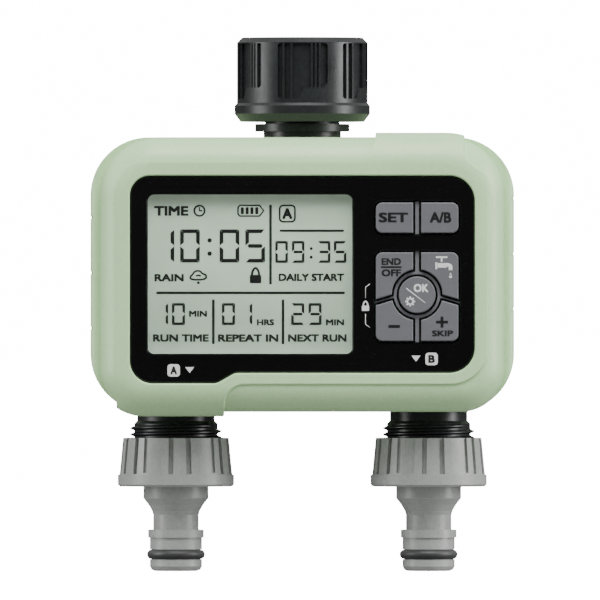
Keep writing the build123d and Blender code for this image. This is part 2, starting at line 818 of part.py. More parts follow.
def make_battery_springs():
    wire = 0.4
    free = 2 * bay_half_width - 1.0 - cell_length - 1.3
    length = free - 2 * wire - 0.1
    helix = Helix(pitch=length / 4, height=length, radius=3.4)
    coil = sweep(Plane(origin=helix @ 0, z_dir=helix % 0) * Circle(wire), path=helix, is_frenet=True)
    high, low = cell_heights()
    start = bay_half_width - 0.5 - wire - 0.05
    left = Pos(-start, cell_y, high) * Rotation(0, 90, 0) * coil
    right = Pos(start, cell_y, low) * Rotation(0, -90, 0) * coil
    return [left, right]


def battery_lead_lanes():
    return bay_half_width + 4.0, bay_half_width + 6.6


def battery_lead_z():
    return guide_top + 3.5


def wire_along(points, bend, radius=0.7):
    path = FilletPolyline(*points, radius=bend)
    return sweep(Plane(origin=path @ 0, z_dir=path % 0) * Circle(radius), path=path)


def make_battery_leads():
    leads = []
    for z, lane in zip(cell_heights(), battery_lead_lanes()):
        y, turn_z = lead_exit_y, battery_lead_z()
        points = [(bay_half_width, y, z), (lane, y, z), (lane, y - 4, turn_z), (lane, board_y, turn_z)]
        leads.append(wire_along(points, 2.0))
    return leads


def make_coil_leads():
    places = [side * outlet_x + pin for side in (-1, 1) for pin in (-2.5, 2.5)]
    return [rod(0.5, board_y, -11.0, x, coil_lead_z()) for x in places]


def make_battery_door():
    width = door_half_width
    door = block(-width, width, door_inner_y, door_inner_y + door_thickness, hinge_z, door_top)
    barrel = Pos(0, hinge_y, hinge_z) * Rotation(0, 90, 0)
    door += barrel * Cylinder(door_thickness / 2, 2 * width)
    door += barrel * Cylinder(hinge_pin_radius, 2 * width + 3.6)
    return door - rod(screw_radius + 0.3, back_y - 4, back_y + 1, 0, door_screw_z)


def make_door_screw():
    """A captive screw with a coin slot."""
    outer = door_inner_y + door_thickness
    screw = rod(3.4, outer, outer + 1.3, 0, door_screw_z)
    screw += rod(screw_radius, frame_y + 0.3, outer, 0, door_screw_z)
    screw = fillet(edges_at(screw, Axis.Y, outer + 1.3), 0.4)
    return screw - Pos(0, outer + 1.3, door_screw_z) * Box(5.6, 1.4, 1.0)


# ---- Outlet adaptors -----------------------------------------------------------------------------


def adaptor_skin(depth):
    """The nut's slightly tapered outside, less a depth."""
    top, low = adaptor_top_radius - depth, adaptor_low_radius - depth
    slope = (low - top) / (adaptor_top - adaptor_skirt_bottom)
    high, under = adaptor_top + 2, adaptor_skirt_bottom - 2
    return turned([(0, high), (top - 2 * slope, high), (low + 2 * slope, under), (0, under)])


def radial_slot(angle, width, low, high, depth):
    """A flat-bottomed slot in the nut's side; the angle is from the front towards +X."""
    cut = block(-width / 2, width / 2, -adaptor_flange_radius - 3, -8, low, high)
    return Rotation(0, 0, angle) * cut - adaptor_skin(depth)


def make_outlet_adaptor(x):
    shape = [
        (0, adaptor_top),
        (adaptor_top_radius, adaptor_top),
        (adaptor_low_radius, adaptor_skirt_bottom),
        (adaptor_flange_radius, adaptor_skirt_bottom),
        (adaptor_flange_radius, adaptor_bottom + 0.6),
        (adaptor_flange_radius - 0.6, adaptor_bottom),
        (9.42, adaptor_bottom),
        (9.42, adaptor_bottom - 3.4),
        (8.0, adaptor_bottom - 5.2),
        (6.95, adaptor_bottom - 7.0),
        (6.6, adaptor_bottom - 8.2),
        (6.6, adaptor_bottom - 12.5),
        (8.08, adaptor_bottom - 12.5),
        (8.08, adaptor_bottom - 14.8),
        (nipple_body, adaptor_bottom - 14.8),
        (nipple_body, ring_top),
        (ring_groove, ring_top),
        (ring_groove, ring_bottom),
        (nipple_body, ring_bottom),
        (nipple_body, nipple_end + 1.4),
        (nipple_body - 0.5, nipple_end + 0.4),
        (nipple_body - 1.5, nipple_end),
        (0, nipple_end),
    ]
    adaptor = turned(shape)
    low = adaptor_skirt_bottom + 0.3
    cuts = []
    for side in range(6):
        start = 60 * side
        cuts.append(radial_slot(start + 13.8, 1.5, low, adaptor_top + 1, 1.2))
        cuts.append(radial_slot(start + 34.7, 5.6, low + 0.3, adaptor_top + 1, 0.7))
        cuts.append(radial_slot(start + 55.2, 1.4, low, adaptor_top + 1, 1.2))
    adaptor -= cuts
    adaptor -= upright(adaptor_bore, spigot_end - adaptor_washer, adaptor_top + 1)
    adaptor -= upright(nipple_bore, nipple_end - 1, adaptor_top)
    high, low = adaptor_top + 1, adaptor_top - 0.5
    adaptor -= turned([(0, high), (adaptor_bore + 1.4, high), (adaptor_bore, low), (0, low)])
    return Pos(x, 0, 0) * adaptor


def make_adaptor_washer(x):
    return ring(adaptor_bore - 0.3, 7.0, spigot_end - adaptor_washer, spigot_end, x)


def make_nipple_ring(x):
    middle = Pos(ring_radius - ring_section / 2, (ring_top + ring_bottom) / 2)
    return Pos(x, 0, 0) * revolve(Plane.XZ * middle * Circle(ring_section / 2), Axis.Z)


# ---- All pieces ----------------------------------------------------------------------------------

pieces["front_cover"] = make_front_cover()
pieces["rear_shell"] = make_rear_shell()
pieces["inner_cover"] = make_inner_cover()
pieces["case_seal"] = make_case_seal()
pieces["case_screws"] = make_case_screws()
pieces["display_panel"] = make_display_panel()
pieces["lcd_window"] = make_lcd_window()
pieces["lcd_glass"] = make_lcd_glass()
pieces["lcd_frame"] = make_lcd_frame()
pieces["lcd_contact_strips"] = make_lcd_contact_strips()
pieces["keypad_web"] = make_keypad_web()
for name, face in key_faces().items():
    pieces[name] = make_key(face)
pieces["circuit_board"] = make_circuit_board()
pieces["board_components"] = make_board_components()
pieces["board_screws"] = make_board_screws()
pieces["valve_manifold"] = make_valve_manifold()
pieces["retaining_ring"] = make_retaining_ring()
pieces["neck_seals"] = make_neck_seals()
pieces["manifold_screws"] = make_manifold_screws()
pieces["inlet_filter"] = make_inlet_filter()
pieces["inlet_washer"] = make_inlet_washer()
pieces["inlet_nut"] = make_inlet_nut()
pieces["bonnet_screws"] = make_bonnet_screws()
pieces["battery_cells"] = make_battery_cells()
pieces["battery_contacts"] = make_battery_contacts()
pieces["battery_springs"] = make_battery_springs()
pieces["battery_leads"] = make_battery_leads()
pieces["coil_leads"] = make_coil_leads()
pieces["battery_door"] = make_battery_door()
pieces["door_seal"] = door_ring(0.0, door_inner_y - 1.6)
pieces["door_screw"] = make_door_screw()
for letter, x in (("a", -outlet_x), ("b", outlet_x)):
    pieces["valve_bonnet_" + letter] = make_bonnet(x)
    pieces["solenoid_coil_" + letter] = make_coil(x)
    pieces["solenoid_yoke_" + letter] = make_coil_yoke(x)
    pieces["plunger_" + letter] = make_plunger(x)
    pieces["valve_disc_" + letter] = make_valve_disc(x)
    pieces["diaphragm_" + letter] = make_diaphragm(x)
    pieces["valve_spring_" + letter] = make_valve_spring(x)
    pieces["outlet_adaptor_" + letter] = make_outlet_adaptor(x)
    pieces["adaptor_washer_" + letter] = make_adaptor_washer(x)
    pieces["nipple_ring_" + letter] = make_nipple_ring(x)

for name, piece in pieces.items():
    whole = Compound(piece) if isinstance(piece, list) else piece
    export_step(whole, f"parts/{name}.step")
    print(name, len(whole.solids()), round(whole.volume))
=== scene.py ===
"""Looks of a two-outlet tap timer: finishes, display, printed marks, key legends and studio.

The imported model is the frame: +Z up, the display faces -Y, +X to the reader's right, metres.
Sizes in this file are millimetres unless a name says otherwise.
"""

import logging
import math
from collections.abc import Mapping, Sequence
from dataclasses import dataclass, field
from enum import Enum

import bmesh
import bpy
from mathutils import Matrix, Vector


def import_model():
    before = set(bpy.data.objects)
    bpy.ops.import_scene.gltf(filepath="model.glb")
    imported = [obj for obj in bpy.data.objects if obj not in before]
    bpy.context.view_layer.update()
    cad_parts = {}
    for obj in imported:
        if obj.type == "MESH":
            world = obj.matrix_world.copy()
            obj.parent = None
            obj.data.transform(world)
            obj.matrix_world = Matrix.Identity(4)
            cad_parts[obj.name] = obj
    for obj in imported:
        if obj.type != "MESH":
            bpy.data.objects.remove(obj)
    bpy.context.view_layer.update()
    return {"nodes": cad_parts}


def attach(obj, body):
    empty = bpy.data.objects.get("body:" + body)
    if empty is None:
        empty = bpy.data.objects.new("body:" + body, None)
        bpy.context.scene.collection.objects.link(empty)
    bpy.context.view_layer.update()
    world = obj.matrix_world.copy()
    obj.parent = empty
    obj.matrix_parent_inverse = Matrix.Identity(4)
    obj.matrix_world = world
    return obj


MM = 0.001
LOG = logging.getLogger("tap_timer")

Point = tuple[float, float]
Socket = bpy.types.NodeSocket
Tree = bpy.types.NodeTree
Node = bpy.types.Node


def linear(hex_code: str) -> tuple[float, float, float, float]:
    """Turns an sRGB hex colour into a linear one.

    Args:
        hex_code: Six hex digits after a hash.

    Returns:
        Linear red, green, blue and an alpha of 1.
    """
    parts = [int(hex_code[i : i + 2], 16) / 255 for i in (1, 3, 5)]
    curve = [c / 12.92 if c <= 0.04045 else ((c + 0.055) / 1.055) ** 2.4 for c in parts]
    return (*curve, 1.0)


def add_node(tree: Tree, kind: str, inputs: Mapping | None = None, **settings: object) -> Node:
    """Adds a shader node with its settings, values and links.

    Args:
        tree: The node tree that gets it.
        kind: The node's type, without the ShaderNode that they all start with.
        inputs: For an input's name or number, a value or the socket that feeds it.
        settings: The node's own properties.

    Returns:
        The new node.
    """
    node = tree.nodes.new("ShaderNode" + kind)
    for name, value in settings.items():
        setattr(node, name, value)
    for name, value in (inputs or {}).items():
        if isinstance(value, Socket):
            tree.links.new(value, node.inputs[name])
        else:
            node.inputs[name].default_value = value
    return node


# ---- Finishes ------------------------------------------------------------------------------------


@dataclass(frozen=True)
class Finish:
    """A surface finish: its name, its colour, and how it scatters light."""

    name: str
    colour: str
    roughness: float
    ior: float = 1.5

    def material(self) -> bpy.types.Material:
        """Returns this finish's material, which is made the first time."""
        made = bpy.data.materials.get(self.name)
        if made is None:
            made = bpy.data.materials.new(self.name)
            made.use_nodes = True
            made.node_tree.nodes.clear()
            self.build(made.node_tree)
        return made

    def build(self, tree: Tree) -> None:
        """Makes the shader and its output, then the finish's own pattern."""
        look = {"Base Color": linear(self.colour), "Roughness": self.roughness, "IOR": self.ior}
        shader = add_node(tree, "BsdfPrincipled", look)
        add_node(tree, "OutputMaterial", {"Surface": shader.outputs["BSDF"]})
        self.dress(tree, shader)

    def dress(self, tree: Tree, shader: Node) -> None:
        """Adds the pattern; a plain finish has none."""

    def noise(self, tree: Tree, size: float, detail: float = 2.0, stretch: Vector | None = None) -> Socket:
        """A noise whose lumps have a real size.

        Args:
            tree: The material's nodes.
            size: Size of a lump.
            detail: Octaves of finer noise.
            stretch: How much finer the noise is along each axis, if it is drawn out.

        Returns:
            The noise, from 0 to 1.
        """
        place = add_node(tree, "TexCoord").outputs["Object"]
        if stretch is not None:
            place = add_node(tree, "Mapping", {"Vector": place, "Scale": stretch}).outputs["Vector"]
        lumps = {"Vector": place, "Scale": 1 / (size * MM), "Detail": detail, "Roughness": 0.55}
        return add_node(tree, "TexNoise", lumps).outputs["Fac"]

    def spread(
        self, tree: Tree, source: Socket, low: float, high: float, ends: Point = (0.3, 0.7)
    ) -> Socket:
        """Maps a noise between its usual ends to the range from low to high."""
        given = {"Value": source, "From Min": ends[0], "From Max": ends[1]}
        wanted = {"To Min": low, "To Max": high}
        return add_node(tree, "MapRange", {**given, **wanted}).outputs["Result"]

    def tinted(self, tree: Tree, factor: Socket, other: str) -> Socket:
        """Mixes the finish's colour with another one by a factor."""
        mix = add_node(tree, "Mix", {"Factor": factor}, data_type="RGBA")
        mix.inputs[6].default_value = linear(self.colour)
        mix.inputs[7].default_value = linear(other)
        return mix.outputs[2]

    def bumped(self, tree: Tree, shader: Node, height: Socket, depth: float) -> None:
        """Gives the surface a relief of a real depth."""
        relief = add_node(tree, "Bump", {"Height": height, "Distance": depth * MM, "Strength": 1.0})
        tree.links.new(relief.outputs["Normal"], shader.inputs["Normal"])


@dataclass(frozen=True)
class MouldedPlastic(Finish):
    """ABS or polypropylene from a spark-eroded mould: an even, fine grain that scatters its gloss.

    The melt leaves slow changes of tone where it flowed, and handling polishes the grain's tops.
    """

    shade: str = "#808080"
    grain: float = 0.35  # a real grain is 0.1 mm; drawn coarser, so that it shows
    grain_depth: float = 0.006
    flow: float = 38.0
    spread_of_gloss: float = 0.08

    def dress(self, tree: Tree, shader: Node) -> None:
        """Adds flow tone, fine specks, uneven gloss and the mould's grain."""
        flow = self.noise(tree, self.flow, 3.0)
        specks = self.noise(tree, self.grain * 2.5, 4.0)
        tone = add_node(tree, "Math", {0: flow, 1: self.spread(tree, specks, -0.35, 0.35)}, operation="ADD")
        factor = self.spread(tree, tone.outputs[0], 0.0, 1.0, (0.2, 0.85))
        tree.links.new(self.tinted(tree, factor, self.shade), shader.inputs["Base Color"])
        handled = self.noise(tree, 14.0, 4.0)
        low, high = self.roughness - self.spread_of_gloss, self.roughness + self.spread_of_gloss
        tree.links.new(self.spread(tree, handled, low, high), shader.inputs["Roughness"])
        self.bumped(tree, shader, self.noise(tree, self.grain, 3.0), self.grain_depth)


@dataclass(frozen=True)
class PolishedAcrylic(Finish):
    """Acrylic sheet printed black on its back: a deep black under a mirror-like face.

    Wiping leaves faint smears and hairlines, which show only in the reflections.
    """

    smear: float = 22.0

    def dress(self, tree: Tree, shader: Node) -> None:
        """Adds smears in the gloss, hairlines in the relief and a little dust."""
        smears = self.noise(tree, self.smear, 5.0)
        gloss = self.spread(tree, smears, self.roughness, self.roughness + 0.07)
        tree.links.new(gloss, shader.inputs["Roughness"])
        hairs = self.noise(tree, 0.5, 2.0, Vector((1.0, 1.0, 0.035)))
        self.bumped(tree, shader, hairs, 0.0006)
        dust = self.spread(tree, self.noise(tree, 0.45, 1.0), 0.0, 0.10, (0.70, 0.80))
        tree.links.new(self.tinted(tree, dust, "#6E7070"), shader.inputs["Base Color"])


@dataclass(frozen=True)
class ClearAcrylic(Finish):
    """Clear cast acrylic: nearly all light passes, and its bevelled rim catches a bright line.

    Lamps shine through it, so that what lies behind is lit.
    """

    def build(self, tree: Tree) -> None:
        """Makes a clear body that lets lamps through, with hairlines on its face."""
        look = {"Base Color": linear(self.colour), "Roughness": self.roughness, "IOR": self.ior}
        body = add_node(tree, "BsdfPrincipled", {**look, "Transmission Weight": 1.0})
        open_way = add_node(tree, "BsdfTransparent", {"Color": linear("#F4F8F4")})
        lamp = add_node(tree, "LightPath").outputs["Is Shadow Ray"]
        mix = add_node(tree, "MixShader", {0: lamp, 1: body.outputs["BSDF"], 2: open_way.outputs["BSDF"]})
        add_node(tree, "OutputMaterial", {"Surface": mix.outputs["Shader"]})
        hairs = self.noise(tree, 0.6, 2.0, Vector((0.04, 1.0, 1.0)))
        self.bumped(tree, body, hairs, 0.0003)


@dataclass(frozen=True)
class Elastomer(Finish):
    """Silicone or nitrile rubber from a ground mould: soft gloss, with dust held in its grain."""

    dust: str = "#A8A8A8"
    grain: float = 0.25
    grain_depth: float = 0.004
    dusty: float = 0.12

    def dress(self, tree: Tree, shader: Node) -> None:
        """Adds dust, worn gloss and a fine grain."""
        grain = self.noise(tree, self.grain, 3.0)
        film = self.spread(tree, self.noise(tree, 9.0, 4.0), 0.0, self.dusty)
        lint = self.spread(tree, self.noise(tree, 0.5, 1.0), 0.0, self.dusty * 2, (0.66, 0.78))
        both = add_node(tree, "Math", {0: film, 1: lint}, operation="ADD").outputs[0]
        tree.links.new(self.tinted(tree, both, self.dust), shader.inputs["Base Color"])
        worn = self.spread(tree, self.noise(tree, 6.0, 3.0), self.roughness - 0.07, self.roughness + 0.07)
        tree.links.new(worn, shader.inputs["Roughness"])
        shader.inputs["Sheen Weight"].default_value = 0.08
        self.bumped(tree, shader, grain, self.grain_depth)


class Lay(Enum):
    """The way in which a metal's fine lines run, as the drawing-out of its noise along X, Y and Z."""

    UPRIGHT = (1.0, 1.0, 0.05)
    NONE = (1.0, 1.0, 1.0)


@dataclass(frozen=True)
class DrawnMetal(Finish):
    """Zinc-plated, tinned or bare steel: grey metal with drawing lines, and dull spots in the plating."""

    lay: Lay = Lay.NONE
    dull: str = "#8D8F8C"
    line: float = 0.3

    def dress(self, tree: Tree, shader: Node) -> None:
        """Adds lines along the lay, and dull spots."""
        shader.inputs["Metallic"].default_value = 1.0
        lines = self.noise(tree, self.line, 3.0, Vector(self.lay.value))
        spots = self.noise(tree, 2.4, 4.0)
        tone = self.tinted(tree, self.spread(tree, spots, 0.0, 0.6), self.dull)
        tree.links.new(tone, shader.inputs["Base Color"])
        uneven = self.spread(tree, spots, self.roughness - 0.06, self.roughness + 0.12)
        tree.links.new(uneven, shader.inputs["Roughness"])
        self.bumped(tree, shader, lines, 0.002)


@dataclass(frozen=True)
class DisplayCell(Finish):
    """A twisted nematic display at rest: a grey-green, satin reflector under glass.

    Its colour is painted a little darker towards the bottom, as painted shade for light from above,
    and its reflector's fine grain shows as a faint sparkle.
    """

    painted_shade_colour: str = "#9FAD9E"
    top_z: float = -46.9
    low_z: float = -91.0

    def dress(self, tree: Tree, shader: Node) -> None:
        """Adds painted shade that darkens it towards the bottom, the reflector's grain and faint clouds."""
        place = add_node(tree, "TexCoord").outputs["Object"]
        height = add_node(tree, "SeparateXYZ", {"Vector": place}).outputs["Z"]
        # Painted shade: the colour goes from the finish's colour at top_z to the darker
        # painted_shade_colour at low_z.
        fall = self.spread(tree, height, 0.0, 1.0, (self.top_z * MM, self.low_z * MM))
        clouds = self.spread(tree, self.noise(tree, 12.0, 2.0), -0.12, 0.12)
        grain = self.spread(tree, self.noise(tree, 0.22, 1.0), -0.10, 0.10)
        tone = add_node(tree, "Math", {0: fall, 1: clouds}, operation="ADD").outputs[0]
        tone = add_node(tree, "Math", {0: tone, 1: grain}, operation="ADD", use_clamp=True).outputs[0]
        tree.links.new(self.tinted(tree, tone, self.painted_shade_colour), shader.inputs["Base Color"])
        self.bumped(tree, shader, self.noise(tree, 0.22, 1.0), 0.001)


@dataclass(frozen=True)
class ScreenInk(Finish):
    """Two-part ink pressed through a mesh: flat and opaque, and a touch thinner in spots."""

    thin: str = "#808080"

    def dress(self, tree: Tree, shader: Node) -> None:
        """Adds the mesh's fine unevenness to the colour, gloss and relief."""
        mesh = self.noise(tree, 0.2, 2.0)
        tone = self.tinted(tree, self.spread(tree, mesh, 0.0, 0.25), self.thin)
        tree.links.new(tone, shader.inputs["Base Color"])
        gloss = self.spread(tree, mesh, self.roughness - 0.05, self.roughness + 0.05)
        tree.links.new(gloss, shader.inputs["Roughness"])
        self.bumped(tree, shader, mesh, 0.0015)


@dataclass(frozen=True)
class BandedSleeve(Finish):
    """A battery's printed shrink sleeve with bare steel ends: the print stops short of each end."""

    band: str = "#2B2F33"
    steel: str = "#B9BAB6"
    half_length: float = 24.0
    band_start: float = 8.0

    def dress(self, tree: Tree, shader: Node) -> None:
        """Adds bare ends and one dark band, by the place along the cell."""
        place = add_node(tree, "TexCoord").outputs["Object"]
        along = add_node(tree, "SeparateXYZ", {"Vector": place}).outputs["X"]
        away = add_node(tree, "Math", {0: along}, operation="ABSOLUTE").outputs[0]
        bare = self.spread(tree, away, 0.0, 1.0, ((self.half_length - 0.2) * MM, self.half_length * MM))
        band = self.spread(tree, along, 0.0, 1.0, (self.band_start * MM, (self.band_start + 0.1) * MM))
        sleeve = self.tinted(tree, band, self.band)
        mix = add_node(tree, "Mix", {0: bare, 6: sleeve, 7: linear(self.steel)}, data_type="RGBA")
        tree.links.new(mix.outputs[2], shader.inputs["Base Color"])
        tree.links.new(bare, shader.inputs["Metallic"])
        self.bumped(tree, shader, self.noise(tree, 1.2, 3.0), 0.004)


@dataclass(frozen=True)
class WoundCoil(Finish):
    """Copper wire wound on a bobbin under amber tape: fine level turns show through the tape."""

    turn: float = 0.35

    def dress(self, tree: Tree, shader: Node) -> None:
        """Adds level turns as a ribbed relief, with tape wrinkles in the gloss."""
        place = add_node(tree, "TexCoord").outputs["Object"]
        turns = add_node(
            tree,
            "TexWave",
            {"Vector": place, "Scale": math.pi / (10 * self.turn * MM), "Distortion": 0.4},
            bands_direction="Z",
        ).outputs["Fac"]
        tree.links.new(self.tinted(tree, turns, "#5A3410"), shader.inputs["Base Color"])
        gloss = self.spread(tree, self.noise(tree, 3.0, 3.0), 0.25, 0.5)
        tree.links.new(gloss, shader.inputs["Roughness"])
        self.bumped(tree, shader, turns, 0.05)


@dataclass(frozen=True)
class SolderMask(Finish):
    """Glass-epoxy board under green solder mask: the copper below shows as a lighter web of tracks."""

    track: float = 2.2

    def dress(self, tree: Tree, shader: Node) -> None:
        """Adds tracks, the glass cloth's weave and an uneven gloss."""
        place = add_node(tree, "TexCoord").outputs["Object"]
        cells = {"Vector": place, "Scale": 1 / (self.track * MM), "Randomness": 0.25}
        web = add_node(tree, "TexVoronoi", cells, feature="DISTANCE_TO_EDGE").outputs["Distance"]
        tracks = self.spread(tree, web, 1.0, 0.0, (0.10, 0.13))
        tree.links.new(self.tinted(tree, tracks, "#2F7A45"), shader.inputs["Base Color"])
        gloss = self.spread(tree, self.noise(tree, 0.5, 2.0), 0.22, 0.38)
        tree.links.new(gloss, shader.inputs["Roughness"])
        self.bumped(tree, shader, tracks, 0.035)


@dataclass(frozen=True)
class LitPaper(Finish):
    """Paper lit through from behind, as on a light table: it looks white but casts little light."""

    glow: float = 1.0

    def dress(self, tree: Tree, shader: Node) -> None:
        """Adds the glow, which only the lens sees."""
        seen = add_node(tree, "LightPath").outputs["Is Camera Ray"]
        glow = add_node(tree, "Math", {0: seen, 1: self.glow}, operation="MULTIPLY").outputs[0]
        shader.inputs["Emission Color"].default_value = linear("#FFFFFF")
        tree.links.new(glow, shader.inputs["Emission Strength"])


class Surface(Enum):
    """Every finish on the timer."""

    # Case: ABS in pale sage, from a spark-eroded mould, so it looks matt and even.
    SAGE_ABS = MouldedPlastic("moulded_sage_abs", "#B9DEA8", 0.42, 1.53, shade="#B1D7A0")
    # Inner walls and frames: black ABS straight from the mould.
    BLACK_ABS = MouldedPlastic("moulded_black_abs", "#2A2B2C", 0.48, 1.53, shade="#222324")
    # Swivel nut and water way: polypropylene, which is a touch waxy and greyer where it is rubbed.
    BLACK_PP = MouldedPlastic(
        "moulded_black_polypropylene", "#17191A", 0.36, 1.49, shade="#1F2223", grain=0.5
    )
    # Tap adaptors: grey ABS.
    GREY_ABS = MouldedPlastic("moulded_grey_abs", "#A2A5A2", 0.40, 1.53, shade="#989B98", grain=0.4)
    # Bonnets, valve discs and strainer: natural acetal, smooth and a little translucent.
    ACETAL = MouldedPlastic("moulded_natural_acetal", "#E4E3D8", 0.34, 1.48, shade="#D9D7CA")
    # Chips: epoxy packages with a matt face.
    EPOXY = MouldedPlastic("moulded_epoxy_package", "#202020", 0.6, 1.55, shade="#2A2A2A")
    # Front panel: acrylic, printed black behind and polished in front.
    PANEL = PolishedAcrylic("polished_acrylic_printed_black", "#060606", 0.07, 1.49)
    # Display window and the display behind it.
    LENS = ClearAcrylic("clear_cast_acrylic", "#FCFEFC", 0.01, 1.49)
    CELL = DisplayCell("nematic_display_film", "#BDCDBB", 0.5, 1.5)
    # Keys and the sheet between them: silicone rubber, pressed in one tool.
    KEY_SILICONE = Elastomer("pressed_grey_silicone", "#5E5F63", 0.5, 1.43, dust="#797A7E")
    WEB_SILICONE = Elastomer("pressed_dark_silicone", "#76767C", 0.52, 1.43, dust="#8C8C92")
    # Seals and O-rings: nitrile, dark and satin.
    NITRILE = Elastomer("pressed_black_nitrile", "#363737", 0.46, 1.52, dust="#626260", dusty=0.07)
    # Wire sleeves: PVC.
    PVC = Elastomer("extruded_red_pvc", "#B03028", 0.4, 1.53, dust="#C07068")
    # Metals: plated screws and springs, the valves' plungers, and the coils' wires.
    ZINC = DrawnMetal("zinc_plated_steel", "#C6C7C2", 0.3)
    STAINLESS = DrawnMetal("turned_stainless_steel", "#B4B5B3", 0.28, lay=Lay.UPRIGHT)
    TINNED = DrawnMetal("tinned_copper_wire", "#CDCCC6", 0.22, lay=Lay.UPRIGHT)
    # Battery cells, coils and circuit board.
    SLEEVE = BandedSleeve("printed_shrink_sleeve", "#A9B0B8", 0.3, 1.5)
    COIL = WoundCoil("taped_copper_winding", "#B5742A", 0.35, 1.5)
    BOARD = SolderMask("green_solder_mask", "#1C5630", 0.3, 1.5)
    # Inks: light and dark two-part inks, and the display's own dark segments.
    LIGHT_INK = ScreenInk("screen_printed_light_ink", "#D9DBD8", 0.45, 1.5, thin="#BFC1BF")
    DARK_INK = ScreenInk("screen_printed_dark_ink", "#050506", 0.45, 1.5, thin="#0D0E10")
    SEGMENT = ScreenInk("display_segment", "#020302", 0.3, 1.5, thin="#060907")

    @property
    def material(self) -> bpy.types.Material:
        """The material of this finish."""
        return self.value.material()


# ---- Printed shapes ------------------------------------------------------------------------------


class Ink:
    """Flat shapes, drawn x to the right and z up in millimetres, that become one thin piece."""

    layer = 0.0015  # each copy of a letter is this much higher, so no two faces fall together
    sunk = 0.02  # the ink reaches this far below the face that it is pressed on

    def __init__(self) -> None:
        """Starts with an empty sheet."""
        self.flat = bmesh.new()
        self.round = bmesh.new()

    def bar(self, centre: Point, size: Point, corner: float = 0.0, turn: float = 0.0) -> "Ink":
        """Adds a rectangle, with rounded corners if they have a radius.

        Args:
            centre: Its middle.
            size: Width and height.
            corner: Corner radius.
            turn: Degrees anticlockwise.

        Returns:
            This sheet.
        """
        made = bmesh.ops.create_grid(self.flat, x_segments=1, y_segments=1, size=0.5)["verts"]
        bmesh.ops.scale(self.flat, verts=made, vec=(size[0], size[1], 1))
        place = Matrix.Translation((*centre, 0)) @ Matrix.Rotation(math.radians(turn), 4, "Z")
        bmesh.ops.transform(self.flat, verts=made, matrix=place)
        if corner:
            self._round(made, corner)
        return self

    def _round(self, verts: Sequence[bmesh.types.BMVert], radius: float) -> None:
        """Rounds the corners of a flat shape."""
        bmesh.ops.bevel(
            self.flat, geom=verts, affect="VERTICES", offset=radius, segments=5, profile=0.5, material=-1
        )

    def frame(self, centre: Point, size: Point, corner: float, line: float) -> "Ink":
        """Adds the outline of a rounded rectangle, as wide as line."""
        before = set(self.flat.faces)
        self.bar(centre, size, corner)
        return self._hollow(before, line)

    def disc(self, centre: Point, radius: float, line: float = 0.0) -> "Ink":
        """Adds a disc, or a ring as wide as line."""
        before = set(self.flat.faces)
        place = Matrix.Translation((*centre, 0))
        bmesh.ops.create_circle(self.flat, cap_ends=True, segments=32, radius=radius, matrix=place)
        return self._hollow(before, line) if line else self

    def _hollow(self, before: set, line: float) -> "Ink":
        """Leaves only a line along the edge of the faces that were added last."""
        new = [f for f in self.flat.faces if f not in before]
        bmesh.ops.inset_region(
            self.flat, faces=new, thickness=line, use_boundary=True, use_even_offset=True
        )
        bmesh.ops.delete(self.flat, geom=new, context="FACES")
        return self

    def wedge(self, centre: Point, size: Point, tip: float, turn: float = 0.0) -> "Ink":
        """Adds a bar whose upper edge is drawn in at both ends.

        Args:
            centre: Its middle.
            size: Width and height.
            tip: How much of the width is left at its upper edge, from 0 to 1.
            turn: Degrees anticlockwise.

        Returns:
            This sheet.
        """
        made = bmesh.ops.create_grid(self.flat, x_segments=1, y_segments=1, size=0.5)["verts"]
        upper = [v for v in made if v.co.y > 0]
        bmesh.ops.scale(self.flat, verts=upper, vec=(max(tip, 0.001), 1, 1))
        place = Matrix.Translation((*centre, 0)) @ Matrix.Rotation(math.radians(turn), 4, "Z")
        bmesh.ops.transform(self.flat, verts=made, matrix=place @ Matrix.Diagonal((*size, 1, 1)))
        return self

    def stroke(
        self, points: Sequence[Point], width: float, closed: bool = False, smooth: bool = False
    ) -> "Ink":
        """Adds a line through points.

        Args:
            points: Where it goes.
            width: Its width.
            closed: Whether it comes back to its start.
            smooth: Whether it bends softly through the points.

        Returns:
            This sheet.
        """
        curve = bpy.data.curves.new("stroke", "CURVE")
        curve.dimensions, curve.fill_mode = "3D", "FULL"
        curve.bevel_depth, curve.bevel_resolution, curve.use_fill_caps = width / 2, 2, True
        spline = curve.splines.new("NURBS" if smooth else "POLY")
        spline.points.add(len(points) - 1)
        for spot, (x, z) in zip(spline.points, points, strict=True):
            spot.co = (x, z, 0, 1)
        spline.use_cyclic_u = closed
        if smooth:
            spline.order_u, spline.resolution_u = 3, 6
            spline.use_endpoint_u = not closed
        made = bmesh_of(as_mesh(curve))
        bmesh.ops.scale(made, verts=made.verts, vec=(1, 1, 1 / width))
        merge(self.round, made)
        return self

    def words(self, text: str, low: Point, high: Point, weight: float = 0.0) -> "Ink":
        """Adds lettering that fills a box.

        Args:
            text: What it says.
            low: The box's lower left corner.
            high: The box's upper right corner.
            weight: How much each stroke is widened on each side, as a share of the letter size.

        Returns:
            This sheet.
        """
        curve = bpy.data.curves.new("words", "FONT")
        curve.body, curve.size, curve.resolution_u, curve.fill_mode = text, 1.0, 3, "FRONT"
        plain = bmesh_of(as_mesh(curve))
        made = plain.copy()
        for step, (aside, up) in enumerate(((2, 0), (1, 1), (0, 2), (2, 2)), 1):
            again = plain.copy()
            shift = Vector((aside * weight, up * weight, step * self.layer))
            bmesh.ops.translate(again, verts=again.verts, vec=shift)
            merge(made, again)
        plain.free()
        xs, ys = [v.co.x for v in made.verts], [v.co.y for v in made.verts]
        scale = (high[0] - low[0]) / (max(xs) - min(xs)), (high[1] - low[1]) / (max(ys) - min(ys))
        bmesh.ops.translate(made, verts=made.verts, vec=(-min(xs), -min(ys), 0))
        bmesh.ops.scale(made, verts=made.verts, vec=(*scale, 1))
        bmesh.ops.translate(made, verts=made.verts, vec=(*low, 0))
        merge(self.flat, made)
        return self

